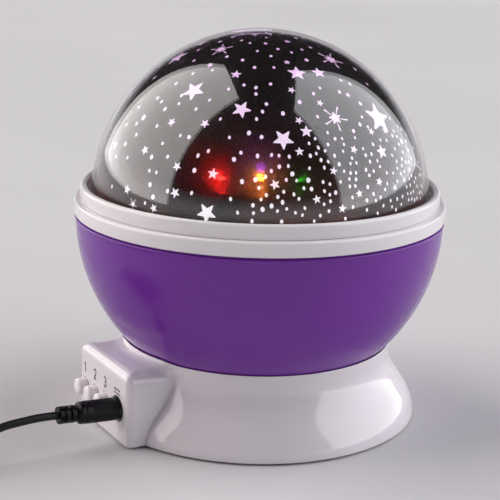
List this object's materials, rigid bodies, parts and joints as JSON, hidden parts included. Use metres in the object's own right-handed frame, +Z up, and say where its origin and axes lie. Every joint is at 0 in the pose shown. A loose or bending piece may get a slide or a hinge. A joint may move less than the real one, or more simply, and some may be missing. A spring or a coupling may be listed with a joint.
{
  "type": "star night light projector",
  "caption": "Round star projector night light: black star dome on a purple turning bowl, white flared base with push buttons, power socket and plugged-in USB lead.",
  "frame": {"origin": "centre of the foot on the floor, on the axis that the bowl and dome turn about", "axes": "+Z up along the turning axis, the control panel with buttons and socket faces -X"},
  "size_m": [0.2069, 0.1233, 0.1262],
  "materials": {
    "shell_white": "glossy moulded white plastic with a faint lilac tint",
    "ring_white": "glossy moulded white plastic",
    "button_white": "glossy white plastic caps",
    "bowl_purple": "glossy purple plastic",
    "dome_clear": "clear polished plastic",
    "film_black": "black printed film with clear stars",
    "plate_grey": "light grey moulded plastic, fine texture",
    "rubber_foot": "black rubber pads",
    "steel": "nickel plated steel",
    "nylon": "natural nylon",
    "black_plastic": "black moulded plastic",
    "board_green": "green circuit board",
    "board_white": "white circuit board",
    "lens_red": "clear red light",
    "lens_green": "clear green light",
    "lens_violet": "clear violet light",
    "lens_white": "clear white light",
    "lens_amber": "clear amber light",
    "wire_red": "red wire sleeve",
    "wire_black": "black wire sleeve",
    "cable_black": "black soft cable jacket",
    "plug_black": "black moulded plug with a knurled grip",
    "tie_grey": "dark grey strap"
  },
  "bodies": {
    "base": {"base_shell": "shell_white", "base_plate": "plate_grey", "rubber_feet": "rubber_foot", "base_screws": "steel", "battery_contacts": "steel", "battery_springs": "steel", "hinge_pin": "steel", "control_board": "board_green", "board_parts": "black_plastic", "tact_switches": "black_plastic", "dc_jack": "black_plastic", "jack_pin": "steel", "motor": "steel", "motor_screws": "steel", "thrust_washer": "nylon", "led_post": "plate_grey", "post_screws": "steel", "led_board": "board_white", "led_board_screws": "steel", "led_red": "lens_red", "led_green": "lens_green", "led_violet": "lens_violet", "led_white": "lens_white", "led_amber": "lens_amber", "motor_wires": "wire_red", "battery_wires": "wire_black", "led_wires": "wire_black", "plug_grip": "plug_black", "plug_barrel": "steel", "cable_lead": "cable_black", "cable_coil": "cable_black", "cable_tail": "cable_black", "coil_tie": "tie_grey", "usb_grip": "plug_black", "usb_shell": "steel"},
    "head": {"bowl": "bowl_purple", "ring_gear": "nylon", "gear_screws": "steel", "band": "ring_white"},
    "dome": {"dome_collar": "ring_white", "star_film": "film_black", "dome_cover": "dome_clear"},
    "pinion": {"motor_shaft": "steel", "pinion": "nylon"},
    "button_1": {"button_1": "button_white"},
    "button_2": {"button_2": "button_white"},
    "button_3": {"button_3": "button_white"},
    "battery_door": {"battery_door": "plate_grey"}
  },
  "joints": [
    {"name": "head_spin", "type": "hinge", "parent": "base", "child": "head", "pos_m": [0, 0, 0.0206], "axis": [0, 0, 1], "continuous": true},
    {"name": "pinion_spin", "type": "hinge", "parent": "base", "child": "pinion", "pos_m": [-0.0225, 0, 0.0208], "axis": [0, 0, 1], "continuous": true},
    {"name": "dome_lift", "type": "slide", "parent": "head", "child": "dome", "axis": [0, 0, 1], "range_m": [0, 0.025]},
    {"name": "button_1_press", "type": "slide", "parent": "base", "child": "button_1", "axis": [1, 0, 0], "range_m": [0, 0.0008], "stiffness_N_per_m": 800},
    {"name": "button_2_press", "type": "slide", "parent": "base", "child": "button_2", "axis": [1, 0, 0], "range_m": [0, 0.0008], "stiffness_N_per_m": 800},
    {"name": "button_3_press", "type": "slide", "parent": "base", "child": "button_3", "axis": [1, 0, 0], "range_m": [0, 0.0008], "stiffness_N_per_m": 800},
    {"name": "battery_door_hinge", "type": "hinge", "parent": "base", "child": "battery_door", "pos_m": [0.0299, 0, 0.0021], "axis": [0, -1, 0], "range_deg": [0, 90]}
  ],
  "couplings": [
    {"joint": "pinion_spin", "follows": "head_spin", "ratio": -4}
  ]
}
